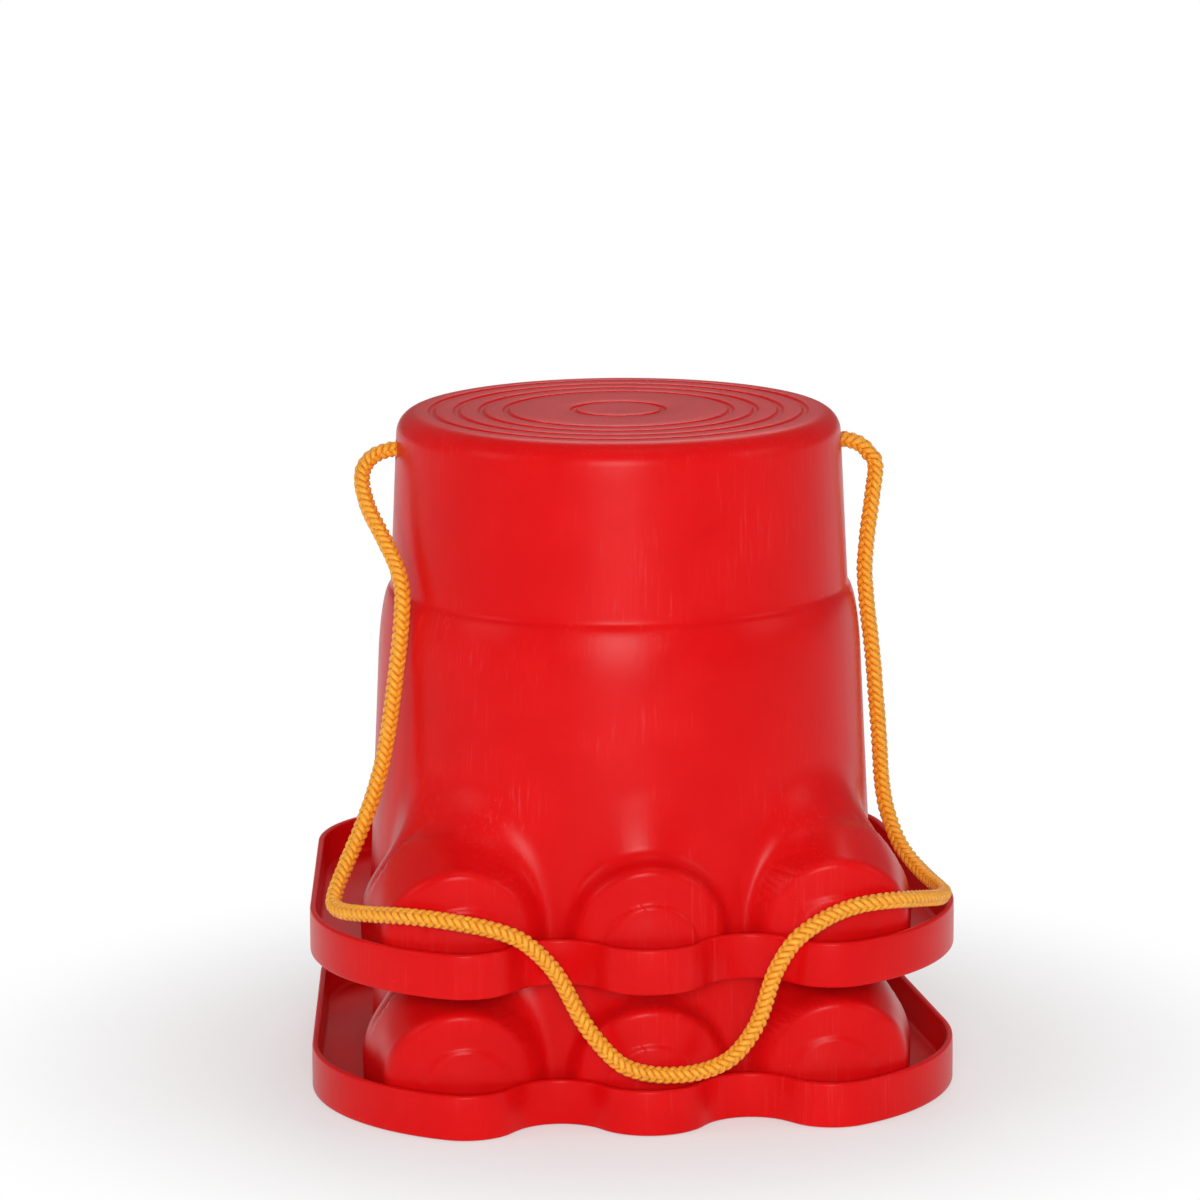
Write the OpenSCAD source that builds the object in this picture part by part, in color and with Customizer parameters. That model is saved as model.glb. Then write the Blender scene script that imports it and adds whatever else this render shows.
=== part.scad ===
// A nested pair of moulded bucket stilts with three-toed feet.
// The upper stilt carries its cord loop, the lower one has empty cord holes.
// Millimetres, +Z up, toes towards -Y, origin on the ground under the bucket axis.

/* [Bucket] */
// Height of one stilt, from the ground to its platform
stilt_h = 116; // [100:1:140]
// Diameter of the wall where it meets the platform
platform_d = 98.4; // [90:0.2:104]
// Lean of the bucket wall away from upright, in degrees
draft = 2.75; // [2.4:0.05:3.5]
// Thickness of the moulded wall
wall = 1.2; // [1:0.1:1.5]
// Thickness of the platform
platform_t = 2; // [1.6:0.1:3]
// Rounding of the platform's outer edge
edge_r = 5; // [3:0.5:7]
// Height of the shoulder line that runs round the bucket
shoulder_z = 77; // [65:1:90]
// Height over which the shoulder swells out
shoulder_h = 15; // [8:1:20]
// How far the lower section stands out from the upper one
shoulder_step = 2.2; // [1:0.1:3]
// Play between the walls of the nested pair
nest_gap = 0.3; // [0.2:0.05:0.6]

/* [Grip rings] */
// Radius of the smallest grip groove on the platform
ring_r = 25; // [20:1:26]
// Distance from one grip groove to the next
ring_pitch = 5.5; // [4:0.5:5.5]
// Number of grip grooves
ring_count = 4; // [1:1:4]
// Width of a groove
ring_w = 1.6; // [1:0.1:2]
// Depth of a groove
ring_depth = 0.6; // [0.3:0.1:0.9]
// Radius of the small groove round the moulding gate
gate_r = 10; // [6:1:14]

/* [Tray] */
// Width of the foot tray
foot_w = 143; // [138:1:150]
// Length of the foot tray, the same before and behind the bucket axis
foot_l = 138.6; // [134:0.2:146]
// Height of the tray's rim
rim_h = 10; // [6:0.5:12]
// Thickness of the tray's rim
rim_w = 1.5; // [1.2:0.1:2.2]
// Thickness of the tray's floor
floor_t = 1.5; // [1.2:0.1:2.5]
// Plan radius of the broad front corners
corner_r = 48; // [44:1:52]
// Distance of the front corner's centre before the bucket axis
corner_y = 24; // [20:1:28]
// Plan radius of the heel's corners
heel_r = 32; // [26:1:36]
// Distance of the heel corner's centre from the middle plane
heel_x = 34.5; // [30:0.5:36]
// Plan radius of the middle lobe
lobe_r = 13.5; // [12:0.5:15]
// Plan radius of the outer lobes' noses
nose_r = 12; // [9:0.5:14]
// Distance of a valley between lobes from the middle plane
valley_x = 20.7; // [19:0.1:22]
// Depth of the valleys behind the front of the middle lobe
valley_depth = 11.3; // [9:0.1:12]

/* [Toes] */
// Radius of the outer toes
toe_r = 16.5; // [14:0.5:18]
// Height of the outer toes' widest line
toe_z = 9.5; // [7:0.5:11]
// Distance from the front of the outer toes' domes to the rim
toe_gap = 5.5; // [4:0.5:6.5]
// Width over the outer toes
toe_span = 121; // [116:1:126]
// Distance of the outer toes' back dome before the bucket axis
toe_back = 33; // [30:0.5:36]
// Radius of the middle toe
mid_toe_r = 16; // [13:0.5:17]
// Height of the middle toe's widest line
mid_toe_z = 10; // [7:0.5:11]
// Distance from the middle toe's dome to the rim
mid_toe_gap = 6; // [4.6:0.2:7]
// Radius at which a toe's sloping back runs into the bucket
root_r = 14; // [10:0.5:15]
// Height of that root above the ground
root_z = 32; // [28:0.5:35]
// Draft of the toes' sides, as growth of the radius at the ground
toe_draft = 0.3; // [0.2:0.1:0.8]
// Radius of the arched pad on the front of a toe
pad_r = 17; // [15:0.5:17.5]
// Height of the centre of a pad's arch
pad_z = 9.5; // [8:0.5:11]
// Plan radius of a pad's bulging face
face_r = 27; // [24:1:30]
// Width of a toenail
nail_w = 20; // [12:0.5:22]
// Height of a toenail's top above the ground
nail_h = 18; // [14:0.5:20]
// How far a toenail stands out from its pad
nail_t = 0.7; // [0.4:0.1:1.2]

/* [Cord] */
// Diameter of the braided cord
cord_d = 3.8; // [3:0.1:4.2]
// Diameter of the cord holes
hole_d = 4.6; // [4.4:0.1:5.5]
// Depth of the cord holes below the platform
hole_drop = 8; // [7.5:0.1:8.5]
// Diameter of the knots on the cord's ends
knot_d = 9; // [8:0.5:10]
// Length of cord left standing behind a knot
tail_l = 6; // [3:1:9]

/* [Hidden] */
$fn = 64;
stilt_red = [0.85, 0.04, 0.05];
cord_yellow = [0.95, 0.6, 0.08];

// Height by which one stilt stands above the other when nested
nest = (wall + nest_gap) / tan(draft);
hole_z = stilt_h - hole_drop;
// Half-steps for cuts that have to run past a face
past = 1;
// A crossing depth that keeps blended round forms from merely touching
sink = 0.15;

// Plan points of the tray outline's arcs
front_y = -foot_l / 2;
corner_c = [foot_w / 2 - corner_r, -corner_y];
heel_c = [heel_x, foot_l / 2 - heel_r];
lobe_c = [0, front_y + lobe_r];
valley_back = valley_depth - lobe_r;
valley_r = (pow(valley_x, 2) + pow(valley_back, 2) - pow(lobe_r, 2)) / (2 * valley_depth);
valley_c = [valley_x, front_y + valley_depth - valley_r];
nose_c = meet(corner_c, corner_r - nose_r, valley_c, nose_r + valley_r);

// Toe centres: the outer toe is three domes in a row, the first one in the front corner's arc
toe_turn = -53;
toe_reach = corner_r - rim_w - toe_gap - toe_r;
toe_front_c = corner_c + toe_reach * [cos(toe_turn), sin(toe_turn)];
toe_back_c = [toe_span / 2 - toe_r, -toe_back];
toe_centres = [toe_front_c, (toe_front_c + toe_back_c) / 2, toe_back_c];
mid_toe_c = [0, front_y + rim_w + mid_toe_gap + mid_toe_r];
// Plan centres of the pads' bulging faces, and the middle of an outer pad's arch
face_c = [toe_front_c[0] + 1.5, toe_front_c[1] - toe_r - toe_draft - sink + face_r];
mid_face_c = [0, mid_toe_c[1] - mid_toe_r - toe_draft - sink + face_r];
pad_x = face_c[0] + 1;

// Distance from the bucket axis to a knot's flat face, where the cord ends
knot_x = 47.5;

// The cord's route from knot to knot, in heights above the upper stilt's base:
// out of the left hole and down the wall, round the left toe and over the rim,
// in a hanging bight before the lower stilt's middle toe, and back up on the right
cord_route = [
    [-knot_x, 0, hole_z], [-50.5, 0, hole_z], [-54, -0.5, 107], [-56.5, -2, 105], [-57.5, -4.5, 101.5],
    [-56, -9, 95.5], [-52, -16, 87.5], [-50, -21.5, 79], [-52, -24, 61], [-55, -24.5, 43],
    [-59.5, -27.5, 30], [-64.5, -33.5, 20.5], [-67, -41, 15], [-63, -50.5, 15.5], [-54, -60, 17],
    [-42, -64, 16.1], [-29, -64.6, 12.3], [-20.5, -63.5, 3.5], [-15.5, -64.5, -6], [-7, -66, -16],
    [5, -66.5, -18.5], [16, -66.5, -15.5], [22.5, -66.5, -7], [25.5, -67, 2.5], [31, -67.4, 11.4],
    [42, -64, 16.5], [53.8, -60.4, 17.2], [64.2, -47.2, 13.9], [67.5, -36.5, 12.5], [66, -26.5, 13],
    [61.5, -16.5, 18], [58.5, -10.5, 28], [57.5, -9, 42], [56, -8.5, 61], [54.5, -6.5, 80.5],
    [57.5, -2, 100.5], [56.5, -1, 104.5], [54, -0.5, 107], [50.5, 0, hole_z], [knot_x, 0, hole_z]];

// Wall radius of the upper section, of the lower section, and of the swelling between them
function upper_r(z) = platform_d / 2 + (stilt_h - z) * tan(draft);
function lower_r(z) = upper_r(z) + shoulder_step;
function swell(t) = shoulder_step * sqrt(1 - pow(1 - t, 2));

// Points of an arc about c from angle a up to angle b, which is left out unless it is the last
function arc(c, r, a, b, n, last = 0) =
    [for (i = [0:n - 1 + last]) let (w = a + (b - a) * i / n) c + r * [cos(w), sin(w)]];
// The angle from one point to another
function bearing(p, q) = atan2(q[1] - p[1], q[0] - p[0]);
// The right-hand crossing of two circles
function meet(p, r, q, s) =
    let (d = norm(q - p), a = (d * d + r * r - s * s) / (2 * d), h = sqrt(r * r - a * a), u = (q - p) / d)
    p + a * u + h * [-u[1], u[0]];
// The outward direction of the line that touches two circles on their right
function side_turn(p, r, q, s) = bearing(p, q) - acos((r - s) / norm(q - p));

// One half of the tray outline, drawn in by d, from the middle lobe round to the heel
function half_outline(d) = concat(
    arc(lobe_c, lobe_r - d, -90, bearing(lobe_c, valley_c), 8),
    arc(valley_c, valley_r + d, bearing(valley_c, lobe_c), bearing(valley_c, nose_c), 10),
    arc(nose_c, nose_r - d, bearing(nose_c, valley_c), bearing(corner_c, nose_c), 10),
    arc(corner_c, corner_r - d, bearing(corner_c, nose_c), side_turn(corner_c, corner_r, heel_c, heel_r), 14),
    arc(heel_c, heel_r - d, side_turn(corner_c, corner_r, heel_c, heel_r), 90, 14, 1));
function flip(points) = [for (i = [len(points) - 1:-1:0]) [-points[i][0], points[i][1]]];

module tray_outline(d) {
    right = half_outline(d);
    left = flip(right);
    polygon(concat(right, [for (i = [0:len(left) - 2]) left[i]]));
}

// The bucket as a solid of revolution, drawn in by t from the outside, with its top at z = top
module bucket(t, top, bottom, round_r) {
    steps = 8;
    bend_z = top - round_r;
    bend_x = upper_r(bend_z) - t - round_r / cos(draft);
    rotate_extrude() {
        polygon(concat(
            [[0, bottom], [lower_r(bottom) - t, bottom]],
            [for (i = [steps:-1:0]) let (z = shoulder_z - shoulder_h * i / steps) [upper_r(z) + swell(i / steps) - t, z]],
            [[bend_x + round_r * cos(draft), bend_z + round_r * sin(draft)], [bend_x, top], [0, top]]));
        intersection() {
            translate([bend_x, bend_z]) circle(round_r);
            translate([bend_x - past, bend_z]) square(2 * round_r);
        }
    }
}

// A cone that touches a ball of radius r at p and a ball of radius s at q
module taper(p, r, q, s) {
    d = norm(q - p);
    lean = asin((r - s) / d);
    way = (q - p) / d;
    translate(p + way * r * sin(lean))
        rotate([0, acos(way[2]), atan2(way[1], way[0])])
            cylinder(h = d - (r - s) * sin(lean), r1 = r * cos(lean), r2 = s * cos(lean));
}

// One dome of a toe with its skirt and its sloping back, drawn in by t
module toe_dome(c, r, z, t, bottom) {
    reach = norm(c);
    root = (lower_r(root_z) - root_r - past) / reach * c;
    translate([c[0], c[1], z]) sphere(r - t);
    translate([c[0], c[1], bottom]) cylinder(h = z - bottom, r1 = r - t + toe_draft, r2 = r - t - sink);
    taper([c[0], c[1], z], r - t - sink, [root[0], root[1], root_z], root_r - t);
}

module toes(t, bottom) {
    for (side = [0, 1]) mirror([side, 0, 0])
        for (c = toe_centres) toe_dome(c, toe_r, toe_z, t, bottom);
    toe_dome(mid_toe_c, mid_toe_r, mid_toe_z, t, bottom);
    for (side = [0, 1]) mirror([side, 0, 0]) toe_pad(pad_x, face_c, t, bottom);
    toe_pad(0, mid_face_c, t, bottom);
}

// A shape with a round top, upright in the plane of the middle of its foot
module arch(w, top, bottom) {
    translate([0, top - w / 2]) circle(w / 2);
    translate([-w / 2, bottom]) square([w, top - w / 2 - bottom]);
}

// The arched pad on a toe's front, drawn in by t: its arch stands at x, its face bulges about c
module toe_pad(x, c, t, bottom) {
    intersection() {
        translate([x, c[1] - face_r / 6, 0]) rotate([90, 0, 0]) linear_extrude(height = face_r)
            arch(2 * (pad_r - t), pad_z + pad_r - t, bottom);
        translate([c[0], c[1], bottom]) cylinder(h = 3 * pad_r, r = face_r - t);
    }
}

// A raised toenail with a round top on the face of a pad
module toenail(c) {
    intersection() {
        translate([c[0], c[1] - face_r / 2, 0]) rotate([90, 0, 0]) linear_extrude(height = face_r)
            arch(nail_w, nail_h, floor_t / 2);
        translate([c[0], c[1], 0]) cylinder(h = 2 * nail_h, r = face_r + nail_t);
    }
}

module grip_ring(r) {
    translate([0, 0, stilt_h - ring_depth]) difference() {
        cylinder(h = ring_depth + past, r = r + ring_w / 2);
        translate([0, 0, -past]) cylinder(h = ring_depth + 3 * past, r = r - ring_w / 2);
    }
}

// One whole moulding: platform, bucket wall, toes, tray and cord holes
module stilt() {
    color(stilt_red) difference() {
        union() {
            bucket(0, stilt_h, 0, edge_r);
            toes(0, 0);
            toenail(mid_face_c);
            for (side = [0, 1]) mirror([side, 0, 0]) toenail(face_c);
            linear_extrude(height = floor_t) tray_outline(0);
            linear_extrude(height = rim_h) difference() {
                tray_outline(0);
                tray_outline(rim_w);
            }
        }
        translate([-foot_w, -foot_l, -2 * toe_r]) cube([2 * foot_w, 2 * foot_l, 2 * toe_r]);
        bucket(wall, stilt_h - platform_t, -past, edge_r - wall);
        toes(wall, -past);
        for (i = [0:ring_count - 1]) grip_ring(ring_r + i * ring_pitch);
        grip_ring(gate_r);
        for (side = [-1, 1])
            translate([side * upper_r(hole_z), 0, hole_z]) rotate([0, 90, 0])
                cylinder(h = 4 * wall, d = hole_d, center = true);
    }
}

// A smooth line through points: each point, and a point between it and the next one
function at(points, i) = points[max(0, min(len(points) - 1, i))];
function between(points, i) =
    (9 * (at(points, i) + at(points, i + 1)) - at(points, i - 1) - at(points, i + 2)) / 16;
function smooth(points) = concat(
    [for (i = [0:2 * len(points) - 3]) i % 2 == 0 ? points[i / 2] : between(points, (i - 1) / 2)],
    [points[len(points) - 1]]);
function unit(v) = v / norm(v);
// The direction of the line at each point, with both ends square to the cord holes
function heading(p, i) =
    i == 0 || i == len(p) - 1 ? [-1, 0, 0] : unit(p[i + 1] - p[i - 1]);
// A side direction carried along the line without twist
function carry(n, t) = unit(n - (n * t) * t);
function sides(p) = [for (i = 0, n = [0, 0, 1]; i < len(p);
    i = i + 1, n = i < len(p) ? carry(n, heading(p, i)) : n) n];

// A round tube along a line of points
module tube(p, d) {
    count = 8;
    n = sides(p);
    rings = [for (i = [0:len(p) - 1]) let (t = heading(p, i), b = cross(t, n[i]))
        for (k = [0:count - 1]) p[i] + d / 2 * (cos(360 * k / count) * n[i] + sin(360 * k / count) * b)];
    last = count * (len(p) - 1);
    walls = [for (i = [0:len(p) - 2]) for (k = [0:count - 1])
        let (a = i * count + k, b = i * count + (k + 1) % count)
        each [[a, b, b + count], [a, b + count, a + count]]];
    polyhedron(
        points = rings,
        faces = concat([[for (k = [count - 1:-1:0]) k]], walls, [[for (k = [0:count - 1]) last + k]]));
}

// A tight round knot with its flat face towards the wall, and the cord's tail behind it
module knot() {
    color(cord_yellow) translate([knot_x, 0, hole_z + nest]) {
        intersection() {
            translate([-knot_d / 2 + past, 0, 0]) sphere(d = knot_d);
            translate([-2 * knot_d, -knot_d, -knot_d]) cube(2 * knot_d);
        }
        translate([-knot_d - tail_l + 2 * past, 0, 0]) rotate([0, 90, 0]) cylinder(h = tail_l + past, d = cord_d);
    }
}

module lower_stilt() { stilt(); }
module upper_stilt() { translate([0, 0, nest]) stilt(); }
module cord() { color(cord_yellow) translate([0, 0, nest]) tube(smooth(cord_route), cord_d); }
module cord_knot_left() { mirror([1, 0, 0]) knot(); }
module cord_knot_right() { knot(); }

lower_stilt();
upper_stilt();
cord();
cord_knot_left();
cord_knot_right();
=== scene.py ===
import math

import bmesh
import bpy
import numpy as np
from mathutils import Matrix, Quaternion, Vector


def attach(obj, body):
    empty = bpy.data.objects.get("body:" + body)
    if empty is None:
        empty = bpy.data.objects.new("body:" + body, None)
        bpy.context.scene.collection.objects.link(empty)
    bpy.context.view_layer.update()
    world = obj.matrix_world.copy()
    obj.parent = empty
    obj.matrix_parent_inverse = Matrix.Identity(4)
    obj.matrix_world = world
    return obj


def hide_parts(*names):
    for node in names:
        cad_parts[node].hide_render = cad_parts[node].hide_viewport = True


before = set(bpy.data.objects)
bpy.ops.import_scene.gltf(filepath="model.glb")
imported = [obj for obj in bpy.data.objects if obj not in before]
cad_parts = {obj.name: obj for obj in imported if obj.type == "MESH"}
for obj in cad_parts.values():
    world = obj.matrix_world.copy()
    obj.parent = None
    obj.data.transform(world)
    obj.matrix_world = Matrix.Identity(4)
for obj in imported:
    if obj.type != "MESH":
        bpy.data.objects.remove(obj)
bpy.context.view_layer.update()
scene = bpy.context.scene
scene.view_settings.view_transform = "Standard"

# The camera looks at the toes from a little above and a little to the left,
# through a long lens from about 1.15 metres away.
eye = Vector((-0.1212, -1.1215, 0.3276))
aim = Vector((-0.00429, 0.00043, 0.10385))
camera = bpy.data.objects.new("camera", bpy.data.cameras.new("camera"))
scene.collection.objects.link(camera)
camera.data.sensor_width = 36
camera.data.lens = 154.05
camera.location = eye
camera.rotation_mode = "QUATERNION"
camera.rotation_quaternion = (aim - eye).to_track_quat("-Z", "Y") @ Quaternion((0, 0, 1), math.radians(-0.33))
scene.camera = camera

# Lower stilt: one thin-walled red plastic moulding, a tapered bucket standing upside down
# in a shallow tray, with three hollow toes at the front. Platform, wall, toes and tray are
# a single shell of even thickness, open underneath. Sizes in this section are millimetres.
height, wall, platform_t = 116.0, 1.2, 2.0
lean = math.radians(2.75)
platform_r, edge_r = 49.2, 5.0
shoulder_z, shoulder_h, shoulder_step = 77.0, 15.0, 2.2
floor_t, rim_h, rim_w = 1.5, 10.0, 1.5
hole_drop, hole_r = 8.0, 2.3
# stacked stilts stop where their leaning walls come within the play of each other
play = 0.3
nest = (wall + play) / math.tan(lean)


def wall_radius(z):
    """The bucket's outer radius at a height, with the swelling below the shoulder line."""
    t = np.clip((shoulder_z - z) / shoulder_h, 0, 1)
    return platform_r + (height - z) * math.tan(lean) + shoulder_step * np.sqrt(np.maximum(1 - (1 - t) ** 2, 0))


def bearing(p, q):
    return math.atan2(q[1] - p[1], q[0] - p[0])


# Plan of the tray: arcs that run into each other, from the middle lobe round to the heel
corner_c, corner_r = np.array((23.5, -24.0)), 48.0
heel_c, heel_r = np.array((34.5, 37.3)), 32.0
lobe_c, lobe_r = np.array((0.0, -55.8)), 13.5
valley_c, valley_r = np.array((20.7, -69.11)), 11.11
nose_c, nose_r = np.array((39.8, -56.1)), 12.0
side_turn = bearing(corner_c, heel_c) - math.acos((corner_r - heel_r) / np.linalg.norm(heel_c - corner_c))


def tray_radius(turn, inset):
    """Distance from the bucket axis to the tray's outline drawn in by inset, at each angle."""
    runs = [
        (lobe_c, lobe_r - inset, -math.pi / 2, bearing(lobe_c, valley_c)),
        (valley_c, valley_r + inset, bearing(valley_c, lobe_c), bearing(valley_c, nose_c)),
        (nose_c, nose_r - inset, bearing(nose_c, valley_c), bearing(corner_c, nose_c)),
        (corner_c, corner_r - inset, bearing(corner_c, nose_c), side_turn),
        (heel_c, heel_r - inset, side_turn, math.pi / 2),
    ]
    half = []
    for c, r, a, b in runs:
        w = np.linspace(a, b, 90)
        half.append(np.stack((c[0] + r * np.cos(w), c[1] + r * np.sin(w)), -1))
    half.append(np.array([[0.0, heel_c[1] + heel_r - inset]]))
    half = np.concatenate(half)
    # the straight sides are filled in, so that a straight line stays straight in polar terms
    step = np.linspace(0, 1, 80, endpoint=False)[:, None]
    half = np.concatenate([a + (b - a) * step for a, b in zip(half[:-1], half[1:])] + [half[-1:]])
    away = np.arctan2(np.abs(half[:, 0]), -half[:, 1])
    order = np.argsort(away)
    from_front = np.abs((turn + math.pi / 2 + math.pi) % (2 * math.pi) - math.pi)
    return np.interp(from_front, away[order], np.hypot(half[:, 0], half[:, 1])[order])


def meld(a, b, k):
    """The nearer of two surfaces, with a fillet of about k where they meet."""
    h = np.maximum(k - np.abs(a - b), 0) / k
    return np.minimum(a, b) - h * h * k / 4


def taper(x, y, z, p, r, q, s):
    """Distance to the form that wraps a ball of radius r at p and a ball of radius s at q."""
    axis = np.array(q) - np.array(p)
    l2 = axis @ axis
    a2 = l2 - (r - s) ** 2
    px, py, pz = x - p[0], y - p[1], z - p[2]
    along = px * axis[0] + py * axis[1] + pz * axis[2]
    past = along - l2
    off = (px * l2 - along * axis[0]) ** 2 + (py * l2 - along * axis[1]) ** 2 + (pz * l2 - along * axis[2]) ** 2
    k = np.sign(r - s) * (r - s) ** 2 * off
    body = (np.sqrt(off * a2 / l2) + along * (r - s)) / l2 - r
    far = np.sqrt(off + past * past * l2) / l2 - s
    near = np.sqrt(off + along * along * l2) / l2 - r
    out = np.where(np.sign(past) * a2 * past * past * l2 > k, far, body)
    return np.where(np.sign(along) * a2 * along * along * l2 < k, near, out)


# Plan places of the toes' domes, from the front one back, and of the arched pads before them,
# with the roots where the toes' backs end on the bucket and the nails on the pads
outer_toe, outer_r, outer_z = [(38.24, -43.57), (41.12, -38.28), (44.0, -33.0)], 16.5, 9.5
middle_toe, middle_r, middle_z = [(0.0, -45.8)], 16.0, 10.0
root_z, root_in, root_r, toe_flare = 32.0, 14.8, 14.0, 0.3
pad_r, pad_z, pad_edge, bulge_r = 17.0, 9.5, 2.0, 27.0
pad_front, pad_flare, pad_reach = 55.3, 0.35, 12.0
outer_pad, outer_face, middle_face = 40.74, (39.74, -33.52), (0.0, -35.25)
nail_r, nail_z, nail_edge, nail_lift = 10.0, 8.0, 0.7, 0.6


def toe(x, y, z, domes, r, mid_z):
    """Distance to a toe: domes, and backs that climb the bucket."""
    d = None
    for cx, cy in domes:
        flare = toe_flare * np.maximum(mid_z - z, 0) / mid_z
        dome = np.sqrt((x - cx) ** 2 + (y - cy) ** 2 + np.maximum(z - mid_z, 0) ** 2) - r - flare
        root = (float(wall_radius(root_z)) - root_in) / math.hypot(cx, cy)
        back = taper(x, y, z, (cx, cy, mid_z), r - 0.1, (cx * root, cy * root, root_z), root_r)
        one = meld(dome, back, 1.5)
        d = one if d is None else meld(d, one, 2.5)
    return d


def pad(x, y, z, at, face):
    """Distance to the pad on a toe's front: an arch with a bulging face and a round edge."""
    # an outer pad's inner flank runs straight towards the bucket axis
    flank = np.minimum(x * np.clip(-pad_front / np.minimum(y, -1), 1, 1.6), at) if at > 0 else x
    aside = np.where(x < at, flank, x) - at
    front = np.hypot(x - face[0], y - face[1]) - bulge_r + pad_edge
    # the pad's roof and flanks open out a little towards the bucket
    arch = np.hypot(aside, np.maximum(z - pad_z, 0)) - pad_r + pad_edge - pad_flare * np.clip(-front, 0, pad_reach)
    d = np.hypot(np.maximum(arch, 0), np.maximum(front, 0)) + np.minimum(np.maximum(arch, front), 0) - pad_edge
    return np.maximum(d, y - face[1] + bulge_r / 6)


def skin(x, y, z):
    """Distance to the outside of the bucket and its toes."""
    d = (np.hypot(x, y) - wall_radius(z)) * math.cos(lean)
    d = meld(d, toe(x, y, z, middle_toe, middle_r, middle_z), 4.0)
    for side in (-1, 1):
        d = meld(d, toe(side * x, y, z, outer_toe, outer_r, outer_z), 4.0)
    d = meld(d, pad(x, y, z, 0.0, middle_face), 2.0)
    for side in (-1, 1):
        d = meld(d, pad(side * x, y, z, outer_pad, outer_face), 2.0)
    return d


def skin_radius(turn, z, inset):
    """Distance from the bucket axis to the bucket and toes, drawn in by inset, by stepping inwards."""
    c, s = np.cos(turn), np.sin(turn)
    r = np.full(np.broadcast(turn, z).shape, 96.0)
    for _ in range(60):
        r = r - 0.85 * (skin(r * c, r * s, z) + inset)
    return r


def toenail(turn, r, z):
    """How far the toenails raise the skin: thin plates with a round top on the face of each pad."""
    x, y = r * np.cos(turn), r * np.sin(turn)
    lift = np.zeros_like(x)
    for side, face in ((1, outer_face), (-1, outer_face), (1, middle_face)):
        aside = side * x - face[0]
        edge = np.hypot(aside, np.maximum(z - nail_z, 0)) - nail_r
        on_face = (np.abs(np.hypot(aside, y - face[1]) - bulge_r) < 1.5) & (y < face[1])
        plate = np.clip(0.5 - edge / nail_edge, 0, 1) * on_face
        lift = np.maximum(lift, plate * plate * (3 - 2 * plate))
    return nail_lift * lift


# The section is drawn from the middle of the platform, down the outside, round the tray and
# its rim, and back up the inside. Each point says how it is placed at each angle.
section = []


def draw(how, z, value=0.0, extra=0.0):
    section.append((how, z, value, extra))


# Platform: one groove round the middle and four grip grooves, each with softened edges
middle_groove, grip_grooves = 10.0, (25.0, 30.5, 36.0, 41.5)
groove = ((-1.1, 0), (-0.8, 0.08), (-0.6, 0.42), (-0.3, 0.6), (0.3, 0.6), (0.6, 0.42), (0.8, 0.08), (1.1, 0))
for r in (0.0, 3.0, 6.0):
    draw("round", height, r)
for dr, dz in groove:
    draw("round", height - dz, middle_groove + dr)
for r in (15.0, 20.0):
    draw("round", height, r)
for ring in grip_grooves:
    for dr, dz in groove:
        draw("round", height - dz, ring + dr)

# Round edge, upper wall and the swelling under the shoulder line
bend_z = height - edge_r
bend_r = float(platform_r + edge_r * math.tan(lean) - edge_r / math.cos(lean))
draw("round", height, (bend_r + grip_grooves[-1] + groove[-1][0]) / 2)
for i in range(11):
    a = (math.pi / 2 - lean) * i / 10
    draw("round", bend_z + edge_r * math.cos(a), bend_r + edge_r * math.sin(a))
for z in np.linspace(107.5, 79.0, 9):
    draw("round", z, float(wall_radius(z)))
for z, out in ((78.0, 0.02), (77.5, 0.07), (77.15, 0.18)):
    draw("round", z, float(wall_radius(z)) + out)
for t in (0.012, 0.03, 0.06, 0.1, 0.16, 0.24, 0.34, 0.46, 0.6, 0.75, 0.9, 1.0):
    z = shoulder_z - shoulder_h * t
    draw("round", z, float(wall_radius(z)))

# Bucket and toes, down to the tray floor and over to the rim
foot_round, rim_round, base_round = 1.5, 1.0, 0.5
lip_h, lip_half = 0.62, 0.7
for z in np.linspace(59.0, 48.0, 4):
    draw("skin", z)
for z in np.linspace(45.0, floor_t + foot_round, 82):
    draw("skin", z)
for a in (0.4, 0.8, 1.2, math.pi / 2):
    draw("foot", floor_t + foot_round * (1 - math.sin(a)), 0.0, 1 - math.cos(a))
for f in (0.25, 0.5, 0.75):
    draw("floor", floor_t, f)
for a in (0.0, 0.4, 0.8, 1.2, math.pi / 2):
    draw("rim_foot", floor_t + rim_round * (1 - math.cos(a)), 1 - math.sin(a))

# Rim with a round lip, and its outside
for z in (4.5, 6.5):
    draw("tray", z, rim_w + 0.06 * (4.5 - z) / 4.5)
for i in range(11):
    a = math.pi * i / 10
    draw("tray", rim_h - lip_h + lip_h * math.sin(a), rim_w / 2 + lip_half * math.cos(a))
for z in (6.5, 4.0, 1.8):
    draw("tray", z, 0.0)
for a in (0.0, 0.5, 1.0, math.pi / 2):
    draw("tray", base_round * (1 - math.sin(a)), base_round * (1 - math.cos(a)))

# Underside, and the inside up to the platform
for f in (0.25, 0.5, 0.75):
    draw("under", 0.0, f)
for a in (math.pi / 2, 1.0, 0.5, 0.0):
    draw("hollow", base_round * (1 - math.sin(a)), wall, base_round * (1 - math.cos(a)))
for z in np.linspace(1.6, 45.0, 22):
    draw("skin", z, wall)
for z in np.linspace(48.0, 60.0, 4):
    draw("skin", z, wall)
for t in (1.0, 0.7, 0.45, 0.25, 0.1, 0.02):
    z = shoulder_z - shoulder_h * t
    draw("round", z, float(wall_radius(z)) - wall)
for z in np.linspace(79.0, 108.0, 8):
    draw("round", z, float(wall_radius(z)) - wall)
in_r = edge_r - wall
for i in range(7):
    a = (math.pi / 2 - lean) * (1 - i / 6)
    draw("round", height - platform_t - in_r + in_r * math.cos(a), bend_r + in_r * math.sin(a))
for r in (36.0, 24.0, 12.0, 0.0):
    draw("round", height - platform_t, r)


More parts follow.
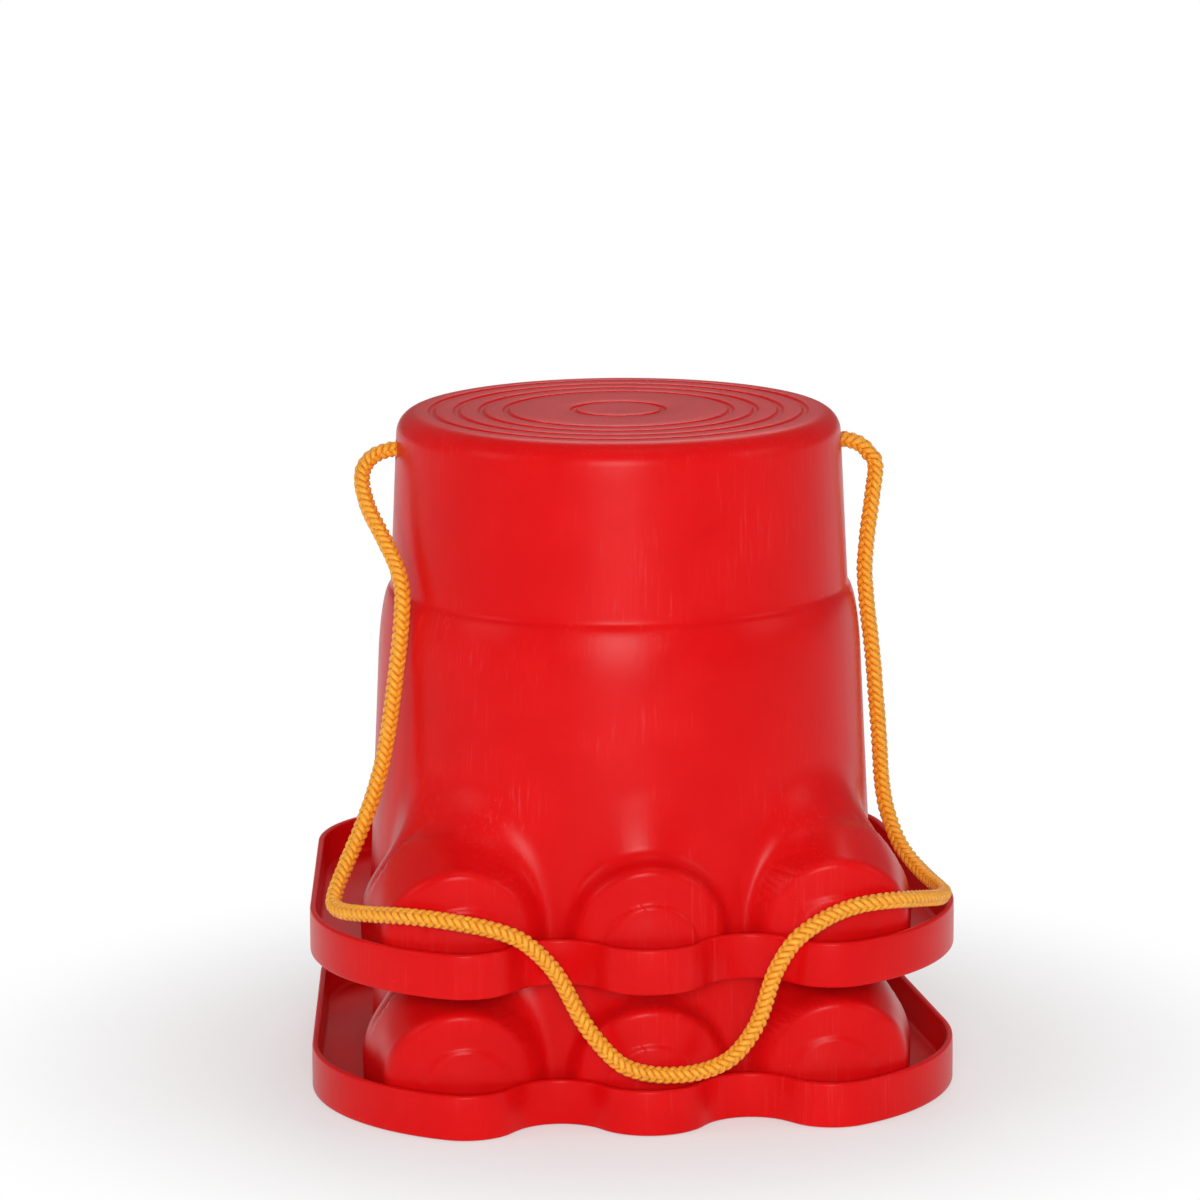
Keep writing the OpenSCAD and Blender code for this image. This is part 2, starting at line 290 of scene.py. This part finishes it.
def mould(name):
    """Spins the section once round the axis, then sets every point where its row and angle put it."""
    steps, crowding = 384, 0.45
    bm = bmesh.new()
    row = bm.verts.layers.int.new("row")
    line = []
    for i, (how, z, value, extra) in enumerate(section):
        r = value if how == "round" else 80.0
        v = bm.verts.new((r * 0.001, 0.0, z * 0.001))
        v[row] = i
        line.append(v)
    edges = [bm.edges.new(pair) for pair in zip(line[:-1], line[1:])]
    bmesh.ops.spin(
        bm, geom=line + edges, cent=(0, 0, 0), axis=(0, 0, 1), angle=math.tau, steps=steps,
        use_merge=True, use_duplicate=False,
    )
    # columns stand closer together at the toes
    even = math.tau * np.arange(steps) / steps
    turn = even - math.pi / 2 - crowding * np.sin(even)
    out_r, in_r = tray_radius(turn, base_round), tray_radius(turn, rim_w)
    foot = skin_radius(turn, np.full(steps, floor_t + foot_round), 0.0)
    # where a toe stands close to the rim, the fillets between them are smaller
    room = in_r - foot
    foot_fillet, rim_fillet = np.minimum(foot_round, room * 0.5), np.minimum(rim_round, room * 0.35)
    hollow = skin_radius(turn, np.full(steps, base_round), wall)
    grid = np.zeros((len(section), steps, 3))
    for i, (how, z, value, extra) in enumerate(section):
        if how == "round":
            r = np.full(steps, value)
        elif how == "skin":
            r = skin_radius(turn, np.full(steps, z), value)
            if value == 0:
                r = r + toenail(turn, r, np.full(steps, z))
        elif how == "foot":
            r = foot + extra * foot_fillet
        elif how == "floor":
            r = (foot + foot_fillet) * (1 - value) + (in_r - rim_fillet) * value
        elif how == "rim_foot":
            r = in_r - value * rim_fillet
        elif how == "tray":
            r = tray_radius(turn, value)
        elif how == "under":
            r = out_r * (1 - value) + (hollow + base_round) * value
        else:
            r = hollow + extra
        grid[i] = np.stack((r * np.cos(turn), r * np.sin(turn), np.full(steps, z)), -1) * 0.001
    for v in bm.verts:
        k = round(math.atan2(v.co.y, v.co.x) / math.tau * steps) % steps
        v.co = grid[v[row], k]
    bmesh.ops.remove_doubles(bm, verts=bm.verts, dist=1e-6)
    bmesh.ops.recalc_face_normals(bm, faces=bm.faces)
    mesh = bpy.data.meshes.new(name)
    bm.to_mesh(mesh)
    bm.free()
    return mesh


def drill(mesh, name):
    """Takes the two cord holes out of the wall, each with a softly broken edge outside."""
    hole_z, outside = height - hole_drop, float(wall_radius(height - hole_drop))
    bore = (
        (-3.0, 0.0), (-3.0, hole_r), (-0.35, hole_r), (-0.12, hole_r + 0.1),
        (0.06, hole_r + 0.32), (0.6, hole_r + 0.9), (0.6, 0.0),
    )
    bm = bmesh.new()
    for side in (-1, 1):
        line = []
        for along, r in bore:
            line.append(bm.verts.new((side * (outside + along) * 0.001, 0.0, (hole_z + r) * 0.001)))
        edges = [bm.edges.new(pair) for pair in zip(line[:-1], line[1:])]
        bmesh.ops.spin(
            bm, geom=line + edges, cent=(0, 0, hole_z * 0.001), axis=(1, 0, 0), angle=math.tau, steps=40,
            use_merge=True,
        )
    bmesh.ops.remove_doubles(bm, verts=bm.verts, dist=1e-7)
    bmesh.ops.recalc_face_normals(bm, faces=bm.faces)
    drill_mesh = bpy.data.meshes.new("drill")
    bm.to_mesh(drill_mesh)
    bm.free()
    cutter = bpy.data.objects.new("drill", drill_mesh)
    blank = bpy.data.objects.new("blank", mesh)
    for o in (cutter, blank):
        scene.collection.objects.link(o)
    cut = blank.modifiers.new("cord_holes", "BOOLEAN")
    cut.object = cutter
    cut.operation = "DIFFERENCE"
    cut.solver = "EXACT"
    done = bpy.data.meshes.new_from_object(blank.evaluated_get(bpy.context.evaluated_depsgraph_get()))
    done.name = name
    for o in (cutter, blank):
        bpy.data.objects.remove(o)
    for face in done.polygons:
        face.use_smooth = True
    done.set_sharp_from_angle(angle=math.radians(38))
    return done


class Paint:
    """A value in a material's nodes: sums on it add Math nodes, and make() adds any other node."""

    def __init__(self, tree, socket=None):
        self.tree, self.socket = tree, socket

    def make(self, kind, settings=None, inputs=None, out=0):
        node = self.tree.nodes.new(kind)
        for key, value in (settings or {}).items():
            setattr(node, key, value)
        for key, value in (inputs or {}).items():
            if isinstance(value, Paint):
                self.tree.links.new(value.socket, node.inputs[key])
            else:
                node.inputs[key].default_value = value
        return Paint(self.tree, node.outputs[out])

    def sum(self, operation, a, b):
        return self.make("ShaderNodeMath", {"operation": operation}, {0: a, 1: b})

    def __add__(self, other):
        return self.sum("ADD", self, other)

    __radd__ = __add__

    def __sub__(self, other):
        return self.sum("SUBTRACT", self, other)

    def __rsub__(self, other):
        return self.sum("SUBTRACT", other, self)

    def __mul__(self, other):
        return self.sum("MULTIPLY", self, other)

    __rmul__ = __mul__

    def between(self, low, high):
        """0 below low, 1 above high, and a soft step between them."""
        inputs = {"Value": self, "From Min": low, "From Max": high}
        return self.make("ShaderNodeMapRange", {"interpolation_type": "SMOOTHSTEP"}, inputs)

    def blend(self, a, b):
        """Colour a where this value is 0, colour b where it is 1."""
        return self.make("ShaderNodeMix", {"data_type": "RGBA"}, {0: self, 6: a, 7: b}, out=2)


def material(name, **fixed):
    """A new material with its shader's constant values set, and a Paint to build on."""
    made = bpy.data.materials.new(name)
    made.use_nodes = True
    shader = made.node_tree.nodes["Principled BSDF"]
    for key, value in fixed.items():
        shader.inputs[key.replace("_", " ")].default_value = value
    return made, shader, Paint(made.node_tree)


def wire(paint, socket):
    paint.tree.links.new(paint.socket, socket)


# Red polypropylene: even, slightly cloudy colour, fine draw marks up the wall, pale scuffs that are partly painted
# glints of light on scratches
red_plastic, shader, p = material("red_plastic", IOR=1.49, Specular_IOR_Level=0.13)
place = p.make("ShaderNodeTexCoord", out="Object")
cloud = p.make("ShaderNodeTexNoise", None, {"Vector": place, "Scale": 38.0, "Detail": 3.0, "Roughness": 0.55})
drawn = p.make("ShaderNodeMapping", None, {"Vector": place, "Scale": (1.0, 1.0, 0.035)})
marks = p.make("ShaderNodeTexNoise", None, {"Vector": drawn, "Scale": 1500.0, "Detail": 3.0, "Roughness": 0.6})
long_marks = p.make("ShaderNodeTexNoise", None, {"Vector": drawn, "Scale": 420.0, "Detail": 2.0, "Roughness": 0.5})
grain = p.make("ShaderNodeTexNoise", None, {"Vector": place, "Scale": 1800.0, "Detail": 2.0})
speck = p.make("ShaderNodeTexVoronoi", None, {"Vector": place, "Scale": 260.0}, out="Distance")
# pale dashes along the draw marks: real scuffs, and also painted glints where scratches would catch the light
scuff_and_glint = marks.between(0.53, 0.75) * cloud.between(0.42, 0.62)
dust = (1 - speck.between(0.03, 0.07)) * cloud.between(0.5, 0.6)
tone = cloud.between(0.3, 0.7).blend((0.69, 0.003, 0.004, 1), (0.75, 0.005, 0.006, 1))
# dust and scuffs pale the colour, the scuffs partly as painted glints
tone = (scuff_and_glint * 0.16 + dust * 0.3).blend(tone, (0.86, 0.12, 0.12, 1))
wire(tone, shader.inputs["Base Color"])
wire(0.24 + cloud * 0.14 + scuff_and_glint * 0.15, shader.inputs["Roughness"])
relief = marks * 0.6 + long_marks * 0.9 + grain * 0.25
bump = p.make("ShaderNodeBump", None, {"Strength": 0.7, "Distance": 0.00005, "Height": relief}, out="Normal")
wire(bump, shader.inputs["Normal"])

moulding = drill(mould("moulding"), "lower_moulding")
lower = bpy.data.objects.new("lower_moulding", moulding)
scene.collection.objects.link(lower)
moulding.materials.append(red_plastic)
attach(lower, "lower_stilt")
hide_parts("lower_stilt")

# Upper stilt: a second moulding from the same tool, stacked on the first, so that its
# tapered wall stops a finger's breadth above the lower one's.
raised = moulding.copy()
raised.name = "upper_moulding"
for v in raised.vertices:
    v.co.z += nest * 0.001
upper = bpy.data.objects.new("upper_moulding", raised)
scene.collection.objects.link(upper)
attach(upper, "upper_stilt")
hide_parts("upper_stilt")

# Cord: a limp 3.8 mm braid of glossy yellow-orange fibre, eight strands over and under each
# other. It leaves the left hole, lies down the wall and round the toe, hangs in a bight before
# the lower stilt, and goes back up to the right hole. Heights are above the upper stilt's base.
cord_d, spacing = 3.8, 0.42
knot_x, hole_z = 47.5, height - hole_drop
route = [
    (-47.5, 0, 108), (-50.5, 0, 108), (-54, -0.5, 107), (-56.5, -2, 105), (-57.5, -4.5, 101.5),
    (-56, -9, 95.5), (-52, -16, 87.5), (-50, -21.5, 79), (-52, -24, 61), (-55, -24.5, 43),
    (-59.5, -27.5, 30), (-64.5, -33.5, 20.5), (-67, -41, 15), (-63, -50.5, 15.5), (-54, -60, 17),
    (-42, -64, 16.1), (-29, -64.6, 12.3), (-20.5, -63.5, 3.5), (-15.5, -64.5, -6), (-7, -66, -16),
    (5, -66.5, -18.5), (16, -66.5, -15.5), (22.5, -66.5, -7), (25.5, -67, 2.5), (31, -67.37, 11.4),
    (42, -64, 16.5), (53.8, -60.4, 17.2), (64.2, -47.2, 13.9), (67.5, -36.5, 12.5), (66, -26.5, 13),
    (61.5, -16.5, 18), (58.5, -10.5, 28), (57.5, -9, 42), (56, -8.5, 61), (54.5, -6.5, 80.5),
    (57.5, -2, 100.5), (56.5, -1, 104.5), (54, -0.5, 107), (50.5, 0, 108), (47.5, 0, 108),
]


def smooth_line(points, rounds, step):
    """A smooth line through points, with a point every step along it."""
    line = np.array(points, float)
    for _ in range(rounds):
        ends = np.concatenate((2 * line[:1] - line[1:2], line, 2 * line[-1:] - line[-2:-1]))
        between = (9 * (ends[1:-2] + ends[2:-1]) - ends[:-3] - ends[3:]) / 16
        finer = np.empty((2 * len(line) - 1, 3))
        finer[::2], finer[1::2] = line, between
        line = finer
    gone = np.concatenate(([0], np.cumsum(np.linalg.norm(np.diff(line, axis=0), axis=1))))
    at = np.linspace(0, gone[-1], int(round(gone[-1] / step)) + 1)
    return np.stack([np.interp(at, gone, line[:, i]) for i in range(3)], -1), gone[-1]


def braid(name, line, length):
    """Eight strands wound both ways round a line, each over two and under two, round a thin core."""
    count = len(line)
    along = np.linspace(0, length, count)
    heading = np.gradient(line, axis=0)
    heading /= np.linalg.norm(heading, axis=1)[:, None]
    side = np.zeros_like(line)
    n = np.array((0.0, 0.0, 1.0))
    for i, t in enumerate(heading):
        n = n - (n @ t) * t
        n /= np.linalg.norm(n)
        side[i] = n
    other = np.cross(heading, side)
    lay, strand_r, weave_r, core_r = 6.6, 0.7, 0.28, 1.15
    curve = bpy.data.curves.new(name, "CURVE")
    curve.dimensions = "3D"
    curve.bevel_depth = strand_r * 0.001
    curve.bevel_resolution = 1
    curve.use_fill_caps = True
    lines, thick = [line], [core_r / strand_r]
    for way in (-1, 1):
        for k in range(4):
            turn = way * math.tau * (along / lay) + math.tau * k / 4 + (math.pi / 8 if way > 0 else 0)
            weave = way * np.tanh(2 * np.sin(2 * turn)) / math.tanh(2)
            r = cord_d / 2 - strand_r - weave_r + weave_r * weave
            lines.append(line + r[:, None] * (np.cos(turn)[:, None] * side + np.sin(turn)[:, None] * other))
            thick.append(1.0)
    for points, radius in zip(lines, thick):
        spline = curve.splines.new("POLY")
        spline.points.add(count - 1)
        spline.points.foreach_set("co", np.concatenate((points * 0.001, np.ones((count, 1))), 1).ravel())
        spline.points.foreach_set("radius", np.full(count, radius))
    loom = bpy.data.objects.new(name, curve)
    scene.collection.objects.link(loom)
    mesh = bpy.data.meshes.new_from_object(loom.evaluated_get(bpy.context.evaluated_depsgraph_get()))
    bpy.data.objects.remove(loom)
    mesh.name = name
    for face in mesh.polygons:
        face.use_smooth = True
    # how far each point stands from the middle of the cord, as a share of the cord's radius, which the material
    # uses for painted shade between the strands
    co = np.zeros(len(mesh.vertices) * 3)
    mesh.vertices.foreach_get("co", co)
    co = co.reshape(-1, 3) * 1000
    lift, batch = np.zeros(len(co)), 4000
    for a in range(0, len(co), batch):
        lift[a:a + batch] = np.linalg.norm(co[a:a + batch, None] - line[None, ::2], axis=2).min(1)
    lift = (lift / (cord_d / 2)).astype(np.float32)
    mesh.attributes.new("lift", "FLOAT", "POINT").data.foreach_set("value", lift)
    return mesh


# Glossy fibre: yellow on the crowns of the strands, deep orange down between them as painted shade, with painted
# highlights in paler patches on the crowns
cord_yellow, shader, p = material("cord_yellow", IOR=1.49, Sheen_Weight=0.12)
lift = p.make("ShaderNodeAttribute", {"attribute_name": "lift"}, out="Fac")
place = p.make("ShaderNodeTexCoord", out="Object")
highlight_patch = p.make("ShaderNodeTexNoise", None, {"Vector": place, "Scale": 900.0, "Detail": 2.0})
fibre = p.make("ShaderNodeTexNoise", None, {"Vector": place, "Scale": 5200.0, "Detail": 2.0})
crown = lift.between(0.55, 0.97)
# the deep orange lower down between the strands is painted shade
tone = crown.blend((0.55, 0.1, 0.002, 1), (0.97, 0.4, 0.011, 1))
# paler yellow patches on the crowns are painted highlights
tone = (highlight_patch.between(0.45, 0.7) * crown * 0.5).blend(tone, (1.0, 0.55, 0.04, 1))
wire(tone, shader.inputs["Base Color"])
wire(0.34 + fibre * 0.22, shader.inputs["Roughness"])
bump = p.make("ShaderNodeBump", None, {"Strength": 0.4, "Distance": 0.00006, "Height": fibre}, out="Normal")
wire(bump, shader.inputs["Normal"])

line, cord_length = smooth_line(np.array(route, float) + (0, 0, nest), 4, spacing)
cord_mesh = braid("braided_cord", line, cord_length)
cord_mesh.materials.append(cord_yellow)
cord = bpy.data.objects.new("braided_cord", cord_mesh)
scene.collection.objects.link(cord)
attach(cord, "upper_stilt")
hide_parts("cord")

# Knots: the same braid wound round its own end inside the bucket, pulled up tight against
# the wall behind each hole, with a short tail left standing.
wound_r, wound_turns, wound_from, wound_run, tail_end = 2.45, 1.35, 2.3, 4.2, 34.6
for side, node in ((-1, "cord_knot_left"), (1, "cord_knot_right")):
    w = np.linspace(0, 1, 24)
    turn = math.tau * wound_turns * w
    wound = np.stack((knot_x - wound_from - wound_run * w, wound_r * np.cos(turn), wound_r * np.sin(turn)), -1)
    tail = np.stack((np.linspace(knot_x - 0.05, tail_end, 14), np.zeros(14), np.zeros(14)), -1)
    tie = None
    for part, points in (("wound", wound), ("tail", tail)):
        points = points * (side, 1, 1) + (0, 0, hole_z + nest)
        run, length = smooth_line(points, 1, spacing)
        made = braid(node + "_" + part, run, length)
        bm = bmesh.new()
        if tie is not None:
            bm.from_mesh(tie)
        bm.from_mesh(made)
        tie = bpy.data.meshes.new(node + "_braid")
        bm.to_mesh(tie)
        bm.free()
    tie.materials.append(cord_yellow)
    knot = bpy.data.objects.new(node + "_braid", tie)
    scene.collection.objects.link(knot)
    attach(knot, "upper_stilt")
    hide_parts(node)

# Studio: a pale floor that fades to white away from the object, a white surround,
# and large soft lamps in front, to both sides, above and behind.
bm = bmesh.new()
bmesh.ops.create_circle(bm, cap_ends=True, radius=6.0, segments=64)
ground_mesh = bpy.data.meshes.new("ground")
bm.to_mesh(ground_mesh)
bm.free()
ground = bpy.data.objects.new("ground", ground_mesh)
scene.collection.objects.link(ground)
ground.location.z = -0.0002
pale, shader, p = material("pale_floor", Roughness=0.9, Specular_IOR_Level=0.1)
shader.inputs["Base Color"].default_value = (0.9, 0.9, 0.9, 1)
place = p.make("ShaderNodeTexCoord", out="Object")
away = p.make("ShaderNodeVectorMath", {"operation": "LENGTH"}, {0: place}, out="Value")


def seen_by(p):
    """1 for rays from the camera and for those that mirror or pass through, 0 for the light itself."""
    rays = p.make("ShaderNodeLightPath").socket.node
    seen = Paint(p.tree, rays.outputs["Is Camera Ray"])
    for kind in ("Is Glossy Ray", "Is Transmission Ray"):
        seen = p.sum("MAXIMUM", seen, Paint(p.tree, rays.outputs[kind]))
    return seen


seen = seen_by(p)
white = p.make("ShaderNodeEmission", None, {"Color": (1, 1, 1, 1), "Strength": 1.0}, out="Emission")
plain = Paint(p.tree, shader.outputs["BSDF"])
# near the object the floor keeps its shadow, and further off it is plain white
fade = seen * (0.45 + 0.55 * away.between(0.07, 0.17))
mixed = p.make("ShaderNodeMixShader", None, {0: fade, 1: plain, 2: white}, out="Shader")
wire(mixed, p.tree.nodes["Material Output"].inputs["Surface"])
ground_mesh.materials.append(pale)

world = bpy.data.worlds.new("surround")
world.use_nodes = True
scene.world = world
p = Paint(world.node_tree)
rays = p.make("ShaderNodeLightPath").socket.node
camera_ray, through_ray, glossy_ray = (
    Paint(p.tree, rays.outputs[kind]) for kind in ("Is Camera Ray", "Is Transmission Ray", "Is Glossy Ray")
)
direct = p.sum("MAXIMUM", camera_ray, through_ray)
way = p.make("ShaderNodeSeparateXYZ", None, {0: p.make("ShaderNodeTexCoord", out="Generated")}, out="Y")
# white where it is seen directly; the plastic mirrors a dim surround, a little brighter behind
mirrored = glossy_ray * (way.between(-0.3, 0.4) * 0.14 - 0.26)
wire(0.36 + direct * 0.64 + mirrored, world.node_tree.nodes["Background"].inputs["Strength"])
world.node_tree.nodes["Background"].inputs["Color"].default_value = (1, 1, 1, 1)

for name, at, size, power in (
    ("front_lamp", (-0.15, -1.3, 0.42), 0.45, 9.2),
    ("left_lamp", (-1.1, -0.3, 0.5), 0.5, 1.5),
    ("right_lamp", (1.1, -0.4, 0.5), 0.5, 1.3),
    ("top_lamp", (0.1, -0.3, 1.3), 0.6, 0.9),
    ("back_lamp", (0.2, 1.1, 1.0), 0.6, 3.2),
):
    lamp = bpy.data.lights.new(name, "AREA")
    lamp.size, lamp.energy = size, power
    held = bpy.data.objects.new(name, lamp)
    scene.collection.objects.link(held)
    held.location = at
    held.rotation_mode = "QUATERNION"
    held.rotation_quaternion = (Vector((0, 0, 0.07)) - Vector(at)).to_track_quat("-Z", "Y")
